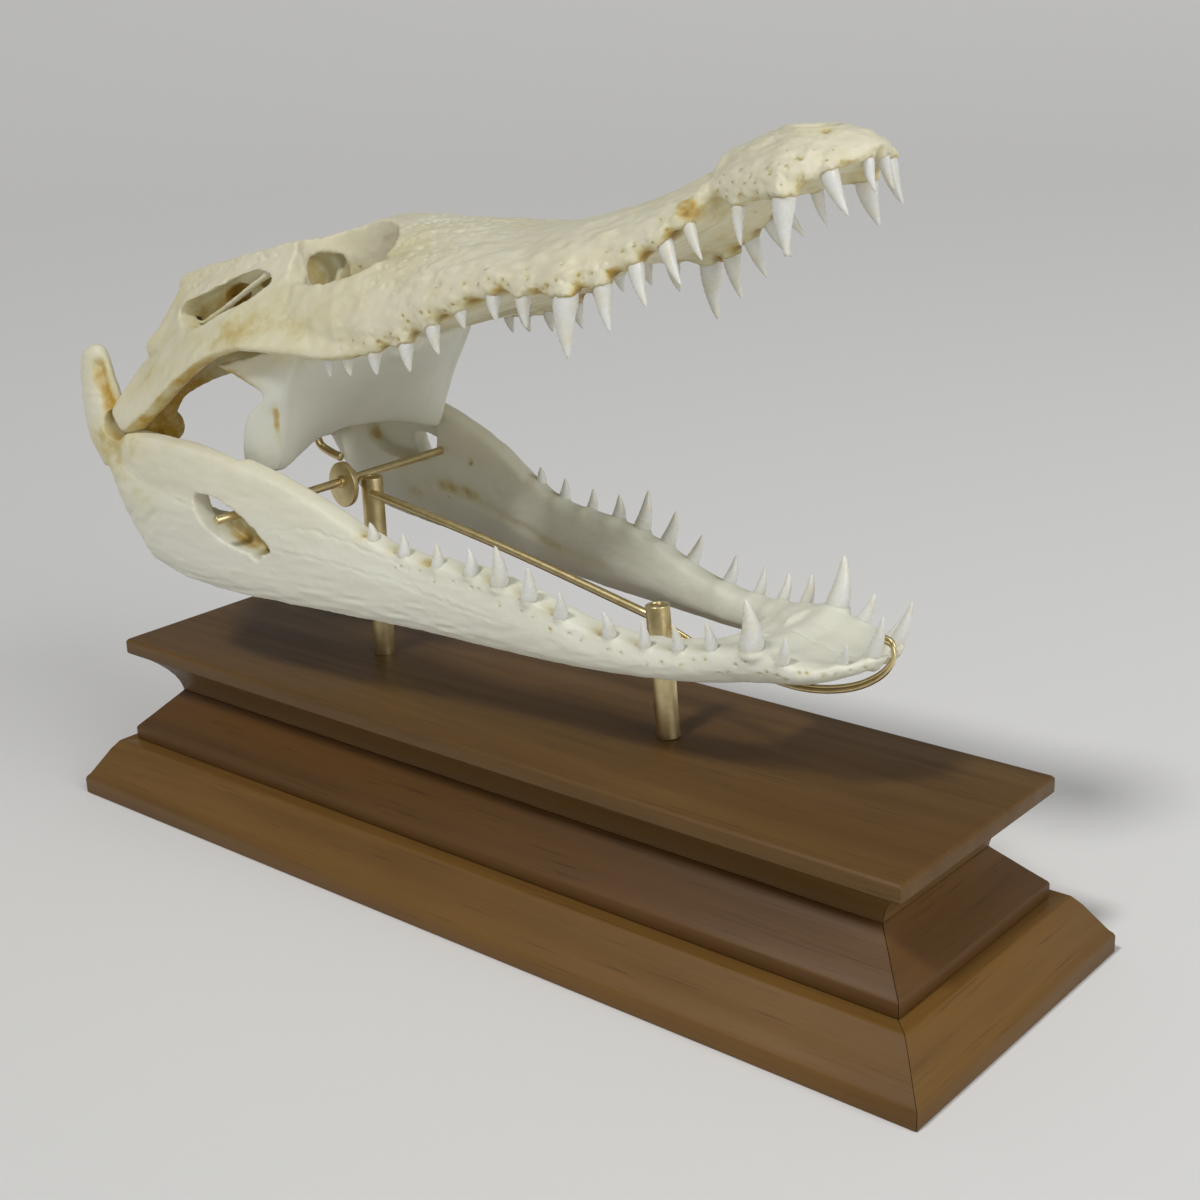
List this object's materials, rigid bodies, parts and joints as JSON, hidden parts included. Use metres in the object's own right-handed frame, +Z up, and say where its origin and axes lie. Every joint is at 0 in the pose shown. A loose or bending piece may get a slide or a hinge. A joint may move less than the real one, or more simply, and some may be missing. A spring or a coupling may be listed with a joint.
{
  "type": "mounted crocodile skull",
  "caption": "Crocodile skull with open jaws, held on brass rods above a stepped walnut display plinth.",
  "frame": {"origin": "middle of the plinth's underside", "axes": "+X along the plinth towards the snout, +Y to the animal's left, +Z up"},
  "size_m": [0.5, 0.161, 0.3441],
  "materials": {
    "bone": "clean dry bone, ivory, with paler glossy teeth",
    "brass": "satin brass, a little aged",
    "wood_top": "satin walnut",
    "wood_middle": "satin walnut, redder",
    "wood_bottom": "satin walnut, paler"
  },
  "bodies": {
    "root": {"plinth_bottom": "wood_bottom", "plinth_middle": "wood_middle", "plinth_top": "wood_top", "rear_post": "brass", "front_post": "brass", "crossbar": "brass", "clamp_tongue": "brass", "long_rod": "brass", "cranium_hook": "brass", "jaw_wire": "brass", "cranium": "bone", "lower_jaw": "bone"}
  },
  "joints": []
}
